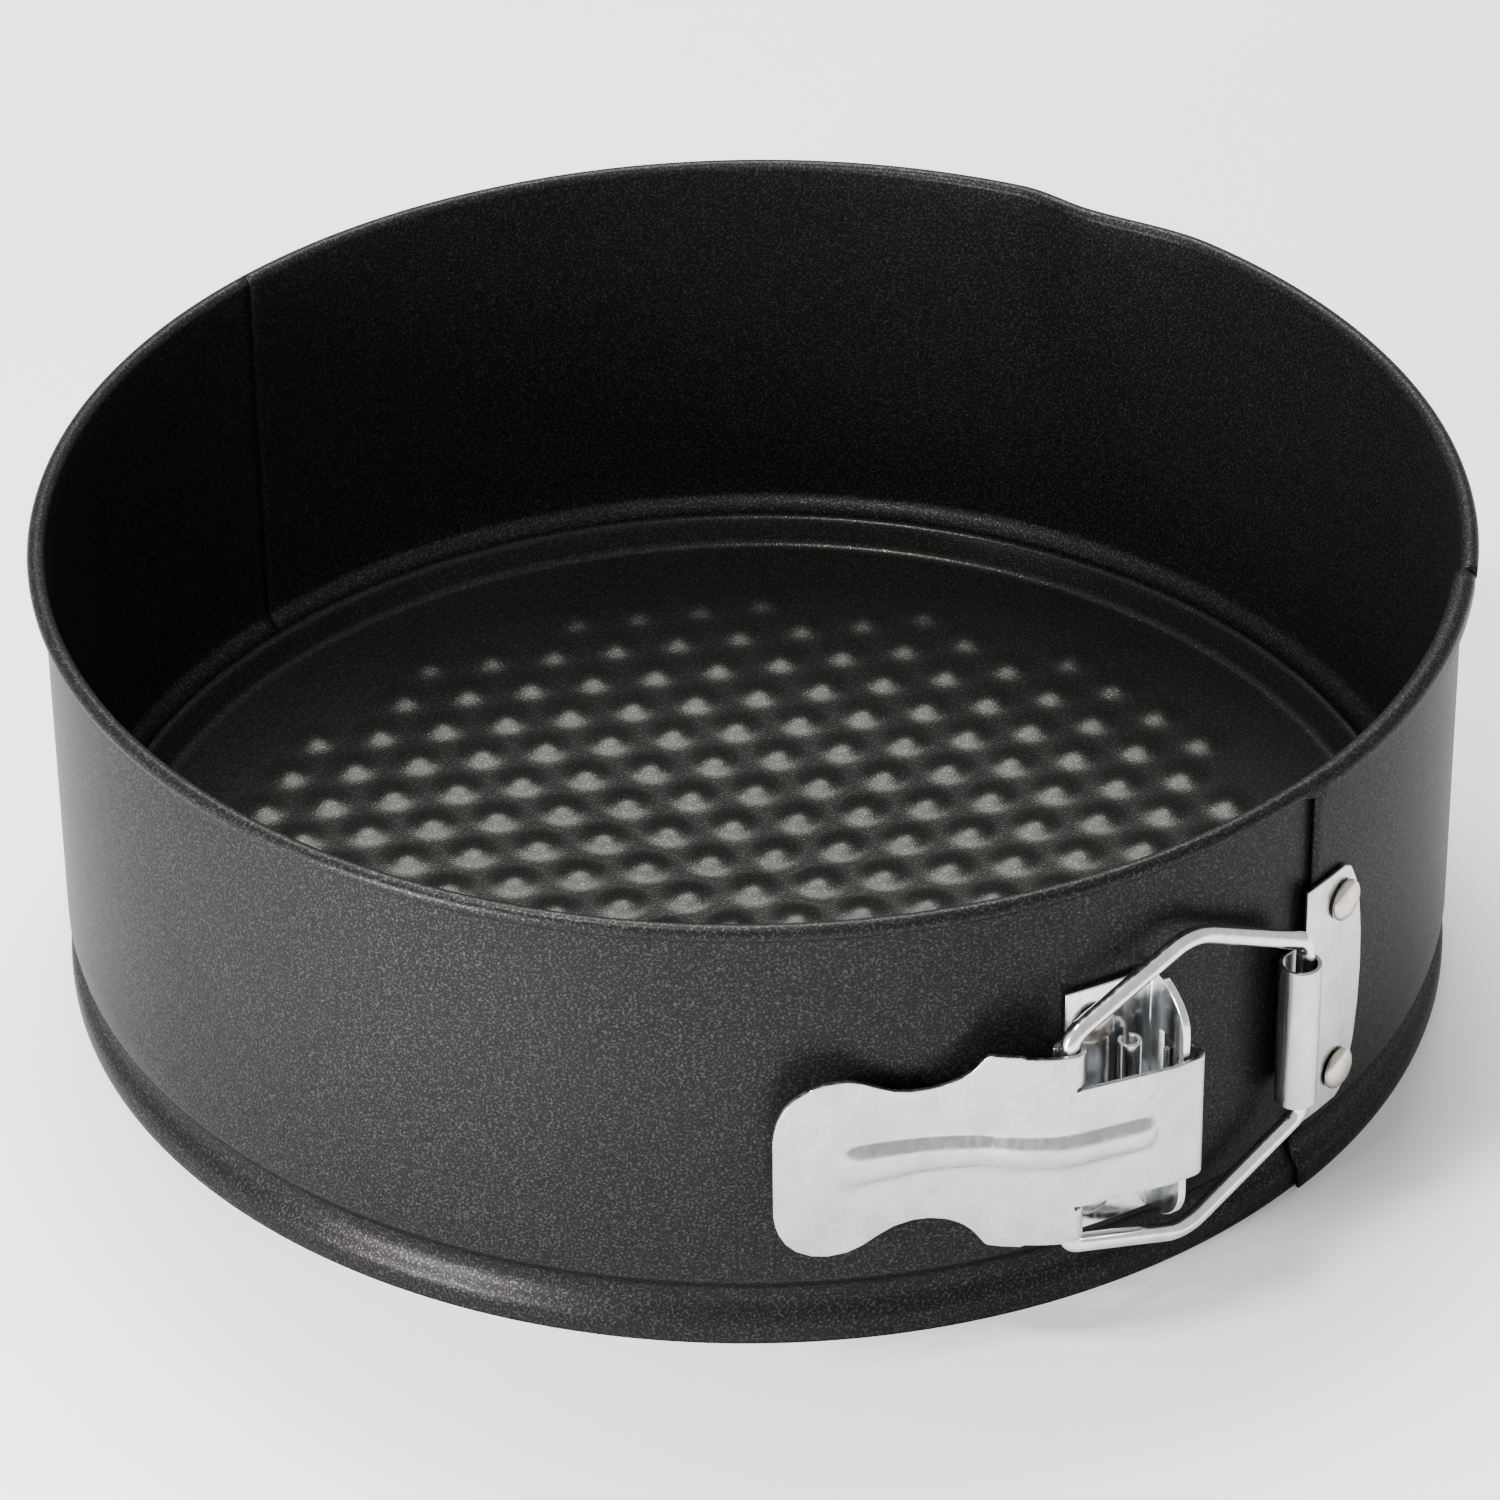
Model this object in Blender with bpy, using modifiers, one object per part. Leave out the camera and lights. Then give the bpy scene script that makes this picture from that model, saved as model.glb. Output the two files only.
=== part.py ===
"""A springform pan: a lapped steel band with an over-centre latch, and a loose dimpled base.

Metres, +Z up. The origin is on the pan's axis, on the surface it stands on, and the latch faces -Y.
A bearing is an angle about the axis from -Y towards +X.
"""

import math

import bmesh
import bpy
from mathutils import Matrix, Vector

MM = 0.001
GAP = 0.3 * MM  # between pieces that touch on the real pan

# Band: one strip of sheet, rolled into a ring whose ends lap on the latch side
BAND_RADIUS = 115.3 * MM  # outside of the inner layer
BAND_HEIGHT = 80.7 * MM
BAND_SHEET = 0.6 * MM
LAP_GAP = 0.45 * MM
OUTER_END = 17.3  # bearing of the outer layer's free edge, degrees
LAP_ANGLE = 31.7  # how far the two ends lap
BEAD_RADIUS = 1.45 * MM  # rolled rim
HOOK_RADIUS = 1.85 * MM  # the wider roll that covers the lap
HOOK_LIP = 1.6 * MM
RIDGE_TOP, RIDGE_MIDDLE, RIDGE_BOTTOM = 12.0 * MM, 8.4 * MM, 4.8 * MM
RIDGE_DEPTH = 2.2 * MM
SKIRT_TOP = 3.2 * MM
BAND_STEP = 4.0  # degrees of one facet

# Base: flange under the ridge, a raised ring inside it, then the floor
BASE_SHEET = 0.6 * MM
BASE_CLEARANCE = 0.6 * MM  # flange edge to skirt
BASE_FLANGE_HEIGHT = 3.8 * MM
BASE_RING_CLEARANCE = 0.8 * MM  # raised ring to the band's ridge
BASE_RING_HEIGHT = 10.3 * MM
BASE_RING_WIDTH = 0.7 * MM
BASE_STEP_WIDTH = 2.4 * MM
BASE_FLOOR_HEIGHT = 4.9 * MM

# Latch: upright pivots, given by their place along the band and how far they stand out from its front
LATCH_HEIGHT = 37.0 * MM  # middle of the latch above the standing surface
BAR_PIVOT = Vector((1.5 * MM, -BAND_RADIUS - 8.7 * MM))
LEG_PIVOT = Vector((-17.3 * MM, -BAND_RADIUS - 6.0 * MM))
LATCH_REACH = 20 * MM  # how far the latch's cutters run out from the band's front
LATCH_DEPTH = 25 * MM  # and how far they run in from it
WIRE_RADIUS = 1.42 * MM
WIRE_OFFSET = Vector((1.07 * MM, 0.27 * MM))  # where the wire sits in the open knuckle

# Hinge plate and its knuckle
PLATE_SHEET = 0.7 * MM
KNUCKLE_PLAY = 1.28 * MM  # room round the wire, which shifts in the knuckle as the latch opens
KNUCKLE_BORE = WIRE_RADIUS + KNUCKLE_PLAY
KNUCKLE_PLACE = 29.0 * MM
KNUCKLE_LENGTH = 26.3 * MM
KNUCKLE_TURN = 310.0  # degrees the sheet is rolled
PLATE_LEFT, PLATE_SHOULDER, PLATE_RIGHT = 32.7 * MM, 42.0 * MM, 47.5 * MM
PLATE_HEIGHT = 45.0 * MM
PLATE_RIVET_BEARING = 20.8
RIVET_SPACING = 32.8 * MM

# Rivets
RIVET_HEAD_RADIUS = 3.5 * MM
RIVET_HEAD_HEIGHT = 1.5 * MM
RIVET_SHANK_RADIUS = 1.6 * MM
RIVET_TAIL_RADIUS = 2.6 * MM
RIVET_TAIL_HEIGHT = 0.8 * MM

# Latch bracket
BRACKET_SHEET = 0.9 * MM
BRACKET_LEFT = -14.3 * MM
BRACKET_HEIGHT = 46.0 * MM
BRACKET_CORNER = 4.0 * MM
BRACKET_RIVET_BEARING = -4.7
FLANGE_SHEET = 1.3 * MM
BAR_WIDTH = 3.0 * MM
BAR_LENGTH = 37.0 * MM  # corner to corner, before the arch is rounded
FLANGE_BROW = 3.4 * MM
FLANGE_BENDS = (8.0 * MM, 7.0 * MM)
WINDOW_LENGTH = 26.0 * MM
WINDOW_FOOT = 2.2 * MM  # flange left standing between the window and the base plate

# Bail
BAIL_KNEE_PLACE = 24.0 * MM  # from the lever's pivot
BAIL_KNEE_HEIGHT, BAIL_LEG_HEIGHT, BAIL_END_HEIGHT = 28.7 * MM, 19.8 * MM, 16.7 * MM
BAIL_KNEE_BEND, BAIL_CORNER_BEND = 9.0 * MM, 3.2 * MM

# Lever
LEVER_SHEET = 0.8 * MM
CURL_BORE = WIRE_RADIUS + GAP
EYE_WIDTH, EYE_DEPTH, EYE_BEND = 5.4 * MM, 3.9 * MM, 1.2 * MM
EYE_RETURN = 4.2 * MM
TONGUE_HALF, SHOULDER_HALF, SHOULDER_SLOT = 11.2 * MM, 18.1 * MM, 0.8 * MM
WAIST_HALF, PADDLE_HALF = 12.3 * MM, 16.5 * MM
LEVER_TIP, PADDLE_PLACE, WAIST_PLACE, SHOULDER_PLACE = -60.3 * MM, -50.0 * MM, -38.5 * MM, -29.2 * MM
# Place and rise of the lever's inner face, in mm
LEVER_LIFT = ((-23.0, 5.2), (-30.0, -0.1), (-36.0, -3.1), (-48.0, -6.8), (-60.8, -10.7))

COATED_STEEL = ("coated_steel", (0.045, 0.042, 0.042), 0.42, 0.75)
COATED_BASE = ("coated_base", (0.050, 0.048, 0.046), 0.38, 0.75)
ZINC = ("zinc_plate", (0.72, 0.73, 0.74), 0.28, 1.0)
RIVET_NICKEL = ("rivet_nickel", (0.55, 0.50, 0.46), 0.30, 1.0)


def polar(radius, bearing, height=None):
    turn = math.radians(bearing)
    spot = (radius * math.sin(turn), -radius * math.cos(turn))
    return Vector(spot if height is None else (*spot, height))


def arc(centre, radius, start, end, count):
    """Points round a centre, by degrees from the first axis towards the second."""
    turns = (math.radians(start + (end - start) * i / count) for i in range(count + 1))
    return [Vector((centre[0] + radius * math.cos(t), centre[1] + radius * math.sin(t))) for t in turns]


def rounded(corners, radii, count=4, closed=True):
    """A polyline through the corners, with each corner replaced by an arc of its radius."""
    line = []
    for i, (corner, radius) in enumerate(zip(corners, radii)):
        if radius == 0 or (not closed and i in (0, len(corners) - 1)):
            line.append(Vector(corner))
            continue
        here = Vector(corner)
        back = (Vector(corners[i - 1]) - here).normalized()
        ahead = (Vector(corners[(i + 1) % len(corners)]) - here).normalized()
        half = back.angle(ahead) / 2
        middle = here + (back + ahead).normalized() * (radius / math.sin(half))
        first, last = here + back * (radius / math.tan(half)), here + ahead * (radius / math.tan(half))
        for step in range(count + 1):
            spoke = (first - middle).slerp(last - middle, step / count)
            line.append(middle + spoke.normalized() * radius)
    return line


def clear_scene():
    for obj in list(bpy.data.objects):
        bpy.data.objects.remove(obj)


def collection(name):
    made = bpy.data.collections.new(name)
    bpy.context.scene.collection.children.link(made)
    return made


def material(look):
    name, color, roughness, metallic = look
    made = bpy.data.materials.get(name)
    if made is None:
        made = bpy.data.materials.new(name)
        made.use_nodes = True
        made.diffuse_color = (*color, 1.0)
        shader = made.node_tree.nodes["Principled BSDF"]
        shader.inputs["Base Color"].default_value = (*color, 1.0)
        shader.inputs["Roughness"].default_value = roughness
        shader.inputs["Metallic"].default_value = metallic
    return made


def add_object(name, mesh, look=None, origin=None):
    """A node with its material, or a hidden cutter when no look is given."""
    obj = bpy.data.objects.new(name, mesh)
    if look:
        pan_parts.objects.link(obj)
        mesh.materials.append(material(look))
    else:
        cutters.objects.link(obj)
        obj.hide_render = True
        obj.display_type = "WIRE"
    if origin is not None:
        mesh.transform(Matrix.Translation(-origin))
        obj.location = origin
    return obj


def finish_mesh(bm, name):
    mesh = bpy.data.meshes.new(name)
    bm.to_mesh(mesh)
    bm.free()
    mesh.shade_smooth()
    mesh.set_sharp_from_angle(angle=math.radians(35))
    return mesh


def solidify(obj, thickness):
    wall = obj.modifiers.new("sheet", "SOLIDIFY")
    wall.thickness = thickness
    wall.offset = -1
    wall.use_even_offset = True


def boolean(obj, other, operation):
    step = obj.modifiers.new(f"{operation.lower()} {other.name}", "BOOLEAN")
    step.operation = operation
    step.object = other
    step.solver = "EXACT"


def prism(name, outline, start, end, plane):
    """A closed prism on an outline of (across, height) or (across, depth) points, between two levels."""
    place = {
        "front": lambda a, b, level: (a, level, b),
        "side": lambda a, b, level: (level, a, b),
        "plan": lambda a, b, level: (a, b, level),
    }[plane]
    bm = bmesh.new()
    face = bm.faces.new([bm.verts.new(place(a, b, start)) for a, b in outline])
    grown = bmesh.ops.extrude_face_region(bm, geom=[face])
    far = [v for v in grown["geom"] if isinstance(v, bmesh.types.BMVert)]
    bmesh.ops.translate(bm, verts=far, vec=Vector(place(0, 0, end)) - Vector(place(0, 0, start)))
    bmesh.ops.recalc_face_normals(bm, faces=bm.faces)
    return finish_mesh(bm, name)


def front_cutter(name, outline):
    """A prism on an outline seen from the front, deep enough for every piece of the latch."""
    return add_object(name, prism(name, outline, -BAND_RADIUS - LATCH_REACH, -BAND_RADIUS + LATCH_DEPTH, "front"))


def spun_profile(bm, points, bearing, centre):
    verts = [bm.verts.new(polar(r, bearing, z) + centre) for r, z in points]
    edges = [bm.edges.new(pair) for pair in zip(verts, verts[1:])]
    return verts + edges


def spin(bm, geom, angle, centre):
    steps = max(1, round(abs(angle) / BAND_STEP))
    turned = bmesh.ops.spin(
        bm, geom=geom, cent=centre, axis=(0, 0, 1), angle=math.radians(angle), steps=steps, use_duplicate=False
    )
    return turned["geom_last"]


def wall_points(radius):
    """The outside of the band's wall from its foot to the start of the rim, as (radius, height)."""
    inner = radius - RIDGE_DEPTH
    return [
        (radius, 0.0),
        (radius, SKIRT_TOP),
        (radius - 0.25 * RIDGE_DEPTH, RIDGE_BOTTOM),
        (inner, RIDGE_MIDDLE - 0.5 * MM),
        (inner, RIDGE_MIDDLE + 0.5 * MM),
        (radius - 0.25 * RIDGE_DEPTH, RIDGE_TOP - 0.8 * MM),
        (radius, RIDGE_TOP + 0.6 * MM),
        (radius, 0.5 * BAND_HEIGHT),
        (radius, BAND_HEIGHT - BEAD_RADIUS),
    ]


def roll_points(radius, roll, turn, lip=0.0):
    """The inner face of the rim's roll: out over the top and down, then a straight lip."""
    inside = roll - BAND_SHEET
    centre = (radius + inside, BAND_HEIGHT - roll)
    line = [(p.x, p.y) for p in arc(centre, inside, 180, 180 - turn, 8)][1:]
    if lip:
        line[-1] = (line[-1][0], line[-1][1] - lip)
    return line


def free_faces_outward(bm, centre):
    bmesh.ops.recalc_face_normals(bm, faces=bm.faces)
    wall = max(bm.faces, key=lambda f: f.calc_area())
    spot = wall.calc_center_median() - centre
    if wall.normal.x * spot.x + wall.normal.y * spot.y < 0:
        bmesh.ops.reverse_faces(bm, faces=bm.faces)


def make_band_left():
    """The inner layer: from the back to the lap, where its rim widens into a hook over the outer layer."""
    centre = Vector((0, 0, 0))
    plain = wall_points(BAND_RADIUS) + roll_points(BAND_RADIUS, BEAD_RADIUS, 300)
    hooked = wall_points(BAND_RADIUS) + roll_points(BAND_RADIUS, HOOK_RADIUS, 180, HOOK_LIP)
    back = OUTER_END - 180
    bm = bmesh.new()
    start = spun_profile(bm, plain, back, centre)
    last = spin(bm, start, 180 - BAND_STEP, centre)
    last = spin(bm, last, BAND_STEP, centre)
    ring = [v for v in last if isinstance(v, bmesh.types.BMVert)]
    for vert in ring:
        away = [(polar(radius, OUTER_END, height) - vert.co).length for radius, height in plain]
        nearest = away.index(min(away))
        vert.co = polar(hooked[nearest][0], OUTER_END, hooked[nearest][1])
    spin(bm, last, LAP_ANGLE, centre)
    free_faces_outward(bm, centre)
    band = add_object("side_band_left", finish_mesh(bm, "side_band_left"), COATED_STEEL)
    solidify(band, BAND_SHEET)
    return band


def make_band_right():
    """The outer layer: a slightly larger ring that meets the inner one at the back, with no rim in the lap."""
    spread = BAND_SHEET + LAP_GAP
    centre = polar(spread / 2, OUTER_END, 0.0)
    radius = BAND_RADIUS + spread / 2
    back = OUTER_END + 180 - math.degrees(GAP / BAND_RADIUS)
    rim_start = OUTER_END + LAP_ANGLE + math.degrees(1.2 * MM / BAND_RADIUS)
    bm = bmesh.new()
    plain = wall_points(radius) + roll_points(radius, BEAD_RADIUS, 300)
    last = spin(bm, spun_profile(bm, plain, back, centre), rim_start - back, centre)
    top = BAND_HEIGHT - BEAD_RADIUS + 0.01 * MM
    wall = [v for v in last if isinstance(v, bmesh.types.BMVert) and v.co.z < top and on_wall(v, radius, centre)]
    edges = [e for e in last if isinstance(e, bmesh.types.BMEdge) and set(e.verts) <= set(wall)]
    spin(bm, wall + edges, OUTER_END - rim_start, centre)
    free_faces_outward(bm, centre)
    hinge = polar(BAND_RADIUS, OUTER_END + 180, 0.0)
    band = add_object("side_band_right", finish_mesh(bm, "side_band_right"), COATED_STEEL, hinge)
    solidify(band, BAND_SHEET)
    return band


def on_wall(vert, radius, centre):
    return (vert.co - centre).xy.length < radius + 0.05 * MM


def make_base():
    """A pressed disc: a flange under the band's ridge, a raised ring, a step down and the floor."""
    flange = BAND_RADIUS - BAND_SHEET - BASE_CLEARANCE
    ring = BAND_RADIUS - RIDGE_DEPTH - BAND_SHEET - BASE_RING_CLEARANCE
    top = ring - BASE_RING_WIDTH
    floor = top - BASE_STEP_WIDTH
    points = [
        (0.0, BASE_FLOOR_HEIGHT),
        (floor, BASE_FLOOR_HEIGHT),
        (floor + 0.6 * MM, BASE_FLOOR_HEIGHT + 0.4 * MM),
        (top - 0.2 * MM, BASE_RING_HEIGHT - 0.3 * MM),
        (top + 0.25 * MM, BASE_RING_HEIGHT),
        (ring - 0.2 * MM, BASE_RING_HEIGHT),
        (ring, BASE_RING_HEIGHT - 0.4 * MM),
        (ring, BASE_FLANGE_HEIGHT + 0.3 * MM),
        (ring + 0.4 * MM, BASE_FLANGE_HEIGHT),
        (flange, BASE_FLANGE_HEIGHT),
    ]
    mesh = bpy.data.meshes.new("base_disc")
    pairs = [(i, i + 1) for i in range(len(points) - 1)]
    mesh.from_pydata([(r, 0.0, z) for r, z in points], pairs, [])
    base = add_object("base_disc", mesh, COATED_BASE)
    turned = base.modifiers.new("turn", "SCREW")
    turned.steps = turned.render_steps = round(360 / BAND_STEP)
    turned.use_merge_vertices = True
    turned.merge_threshold = 0.00001
    turned.use_smooth_shade = True
    solidify(base, BASE_SHEET)
    return base


def sheet_strip(bm, edges, line):
    """Draws the edges along the plan line, which starts where they stand, and returns the last edges."""
    for here, there in zip(line, line[1:]):
        grown = bmesh.ops.extrude_edge_only(bm, edges=edges)
        fresh = [v for v in grown["geom"] if isinstance(v, bmesh.types.BMVert)]
        edges = [e for e in grown["geom"] if isinstance(e, bmesh.types.BMEdge)]
        edges = [e for e in edges if set(e.verts) <= set(fresh)]
        bmesh.ops.translate(bm, verts=fresh, vec=(there[0] - here[0], there[1] - here[1], 0))
    return edges


def upright_edges(bm, spot, heights):
    verts = [bm.verts.new((spot[0], spot[1], z)) for z in heights]
    return [bm.edges.new(pair) for pair in zip(verts, verts[1:])]


def face_normals(bm, spot, direction):
    """Turns the whole sheet so that the face nearest to a spot looks in a direction."""
    bmesh.ops.recalc_face_normals(bm, faces=bm.faces)
    near = min(bm.faces, key=lambda f: (f.calc_center_median().xy - spot).length)
    if near.normal.xy.dot(direction) < 0:
        bmesh.ops.reverse_faces(bm, faces=bm.faces)


def plate_outer_radius():
    return BAND_RADIUS + LAP_GAP + BAND_SHEET + GAP + PLATE_SHEET


def knuckle_centre():
    """The knuckle rolls up from the plate, so its bore touches the plate's outer face."""
    radius = plate_outer_radius() + KNUCKLE_BORE
    return polar(radius, math.degrees(math.asin(KNUCKLE_PLACE / radius)))


def make_hinge_plate():
    centre = knuckle_centre()
    bearing = math.degrees(math.asin(KNUCKLE_PLACE / centre.length))
    foot = bearing + 90  # direction of the pan's axis as seen from the knuckle
    roll = arc(centre, KNUCKLE_BORE, foot + KNUCKLE_TURN, foot, 28)
    outer = plate_outer_radius()
    far = math.degrees(math.asin(PLATE_RIGHT / outer)) + 1.0
    along = [polar(outer, bearing + (far - bearing) * i / 6) for i in range(1, 7)]
    half = PLATE_HEIGHT / 2 + 1 * MM
    bm = bmesh.new()
    edges = upright_edges(bm, roll[0], (LATCH_HEIGHT - half, LATCH_HEIGHT + half))
    sheet_strip(bm, edges, roll + along)
    face_normals(bm, along[-1], along[-1])
    plate = add_object("hinge_plate", finish_mesh(bm, "hinge_plate"), ZINC)
    solidify(plate, PLATE_SHEET)
    end = centre.x - KNUCKLE_BORE - PLATE_SHEET - 1 * MM
    tall, short = PLATE_HEIGHT / 2, KNUCKLE_LENGTH / 2
    bulge = arc((PLATE_SHOULDER, 0), 1.0, -90, 90, 10)
    side = [(PLATE_SHOULDER + (p.x - PLATE_SHOULDER) * (PLATE_RIGHT - PLATE_SHOULDER), p.y * tall) for p in bulge]
    outline = [(end, short), (end, -short), (PLATE_LEFT, -short), (PLATE_LEFT, -tall)] + side
    outline += [(PLATE_LEFT, tall), (PLATE_LEFT, short)]
    lifted = [(a, b + LATCH_HEIGHT) for a, b in outline]
    boolean(plate, front_cutter("plate_outline", lifted), "INTERSECT")
    return plate


def radial_frame(bearing, height):
    """A matrix whose Z points out from the axis at a bearing, with its origin on the axis."""
    out = polar(1.0, bearing, 0.0)
    side = Vector((0, 0, 1)).cross(out)
    turn = Matrix((side, Vector((0, 0, 1)), out)).transposed().to_4x4()
    return Matrix.Translation((0, 0, height)) @ turn


def turned_mesh(name, points, steps=20):
    """A solid turned from a closed profile of (radius, level) points that starts and ends on its axis."""
    bm = bmesh.new()
    verts = [bm.verts.new((r, 0, z)) for r, z in points]
    edges = [bm.edges.new(pair) for pair in zip(verts, verts[1:])]
    bmesh.ops.spin(
        bm, geom=verts + edges, cent=(0, 0, 0), axis=(0, 0, 1), angle=math.tau, steps=steps, use_merge=True
    )
    bmesh.ops.remove_doubles(bm, verts=bm.verts, dist=1e-6)
    bmesh.ops.recalc_face_normals(bm, faces=bm.faces)
    return finish_mesh(bm, name)


def rivet_profile(seat, end, tail):
    """Dome head on its seat, shank, and a flat tail past the end level when it has one."""
    head = RIVET_HEAD_RADIUS
    dome = [(head * math.cos(t), seat + RIVET_HEAD_HEIGHT * math.sin(t)) for t in (0, 0.45, 0.9, 1.25)]
    points = [(0, seat + RIVET_HEAD_HEIGHT)] + dome[::-1] + [(head, seat + 0.0), (RIVET_SHANK_RADIUS, seat)]
    points.pop(-2)
    points.append((RIVET_SHANK_RADIUS, end))
    if tail:
        points += [(RIVET_TAIL_RADIUS, end), (RIVET_TAIL_RADIUS - 0.3 * MM, end - RIVET_TAIL_HEIGHT)]
        end -= RIVET_TAIL_HEIGHT
    return points + [(0, end)]


def make_rivets(names, bearing, seat, end, tail, held):
    """Two rivets, one above the other, and the clearance holes that they pass through."""
    for name, side in zip(names, (1, -1)):
        frame = radial_frame(bearing, LATCH_HEIGHT + side * RIVET_SPACING / 2)
        rivet = add_object(name, turned_mesh(name, rivet_profile(seat, end, tail)), RIVET_NICKEL)
        rivet.matrix_world = frame
        hole_radius = RIVET_SHANK_RADIUS + GAP
        reach = 5 * MM
        profile = [(0, seat + reach), (hole_radius, seat + reach), (hole_radius, end - reach), (0, end - reach)]
        hole = add_object(name + "_hole", turned_mesh(name + "_hole", profile))
        hole.matrix_world = frame
        for piece in held:
            boolean(piece, hole, "DIFFERENCE")


def bracket_face():
    return BAND_RADIUS + GAP + BRACKET_SHEET


def flange_outline():
    """The standing flange seen from the side, as (depth, height): an arch from the band out to the bar."""
    foot = -(bracket_face() - 0.4 * BRACKET_SHEET)
    outer = BAR_PIVOT.y - BAR_WIDTH / 2
    tall, bar = BRACKET_HEIGHT / 2, BAR_LENGTH / 2
    brow = foot - FLANGE_BROW
    corners = [(foot, -tall), (foot, tall), (brow, tall), (outer, bar), (outer, -bar), (brow, -tall)]
    bends = (0, 0, FLANGE_BENDS[0], FLANGE_BENDS[1], FLANGE_BENDS[1], FLANGE_BENDS[0])
    return rounded(corners, bends, count=6)


def flange_window():
    near = -(bracket_face() + WINDOW_FOOT)
    far = BAR_PIVOT.y + BAR_WIDTH / 2
    half = WINDOW_LENGTH / 2
    return rounded([(near, -half), (near, half), (far, half), (far, -half)], (1.0 * MM,) * 4, count=3)


def make_bracket():
    """A base plate that follows the band and a flange that stands out from it, with a window and an outer bar."""
    left = math.degrees(math.asin(BRACKET_LEFT / bracket_face()))
    right = math.degrees(math.asin((BAR_PIVOT.x + FLANGE_SHEET / 2) / bracket_face()))
    half = BRACKET_HEIGHT / 2
    line = [polar(bracket_face(), left + (right - left) * i / 6) for i in range(7)]
    bm = bmesh.new()
    sheet_strip(bm, upright_edges(bm, line[0], (LATCH_HEIGHT - half, LATCH_HEIGHT + half)), line)
    face_normals(bm, line[0], line[0])
    bracket = add_object("latch_bracket", finish_mesh(bm, "latch_bracket"), ZINC)
    solidify(bracket, BRACKET_SHEET)
    cut = BRACKET_CORNER
    for side in (1, -1):
        corner = [(BRACKET_LEFT - cut, half - cut), (BRACKET_LEFT + cut, half + cut), (BRACKET_LEFT - cut, half + cut)]
        placed = [(a, LATCH_HEIGHT + side * b) for a, b in corner]
        name = "bracket_corner_" + ("upper" if side > 0 else "lower")
        boolean(bracket, front_cutter(name, placed), "DIFFERENCE")
    start, end = BAR_PIVOT.x - FLANGE_SHEET / 2, BAR_PIVOT.x + FLANGE_SHEET / 2
    arch = [(a, b + LATCH_HEIGHT) for a, b in flange_outline()]
    opening = [(a, b + LATCH_HEIGHT) for a, b in flange_window()]
    flange = add_object("bracket_flange", prism("bracket_flange", arch, start, end, "side"))
    window = add_object("bracket_window", prism("bracket_window", opening, start - GAP, end + GAP, "side"))
    boolean(flange, window, "DIFFERENCE")
    boolean(bracket, flange, "UNION")
    return bracket


def make_bail():
    """A closed six-sided wire loop between the lever's curls and the knuckle."""
    start = LEG_PIVOT
    end = knuckle_centre() + WIRE_OFFSET
    along = (end - start).normalized()
    reach = (end - start).length
    upper = [(0, BAIL_LEG_HEIGHT), (BAIL_KNEE_PLACE, BAIL_KNEE_HEIGHT), (reach, BAIL_END_HEIGHT)]
    corners = upper + [(a, -b) for a, b in reversed(upper)]
    bends = (BAIL_CORNER_BEND, BAIL_KNEE_BEND, BAIL_CORNER_BEND) * 2
    curve = bpy.data.curves.new("bail_wire", "CURVE")
    curve.dimensions = "3D"
    curve.bevel_depth = WIRE_RADIUS
    curve.bevel_resolution = 4
    loop = rounded(corners, bends, count=5)
    spline = curve.splines.new("POLY")
    spline.points.add(len(loop) - 1)
    for point, (a, b) in zip(spline.points, loop):
        point.co = (along.x * a, along.y * a, b, 1.0)
    spline.use_cyclic_u = True
    bail = bpy.data.objects.new("bail_wire", curve)
    curve.materials.append(material(ZINC))
    pan_parts.objects.link(bail)
    bail.location = (start.x, start.y, LATCH_HEIGHT)
    return bail


def lever_outline():
    """The lever seen from the front, as (across, height from its middle)."""
    tongue_end = BAR_PIVOT.x + EYE_WIDTH / 2 + LEVER_SHEET + 1 * MM
    step = 2.2 * MM
    upper = [
        (LEVER_TIP, 6.0 * MM),
        (LEVER_TIP + 2.5 * MM, PADDLE_HALF - 1.2 * MM),
        (PADDLE_PLACE, PADDLE_HALF),
        (WAIST_PLACE - 5.0 * MM, WAIST_HALF + 1.0 * MM),
        (WAIST_PLACE, WAIST_HALF),
        (SHOULDER_PLACE - step, WAIST_HALF + 1.5 * MM),
        (SHOULDER_PLACE, SHOULDER_HALF),
        (tongue_end, SHOULDER_HALF),
    ]
    bends = (5.0 * MM, 4.0 * MM, 5.0 * MM, 8.0 * MM, 6.0 * MM, 2.0 * MM, 1.2 * MM, 0)
    corners = upper + [(a, -b) for a, b in reversed(upper)]
    return rounded(corners, bends + bends[::-1], count=3)


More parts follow.
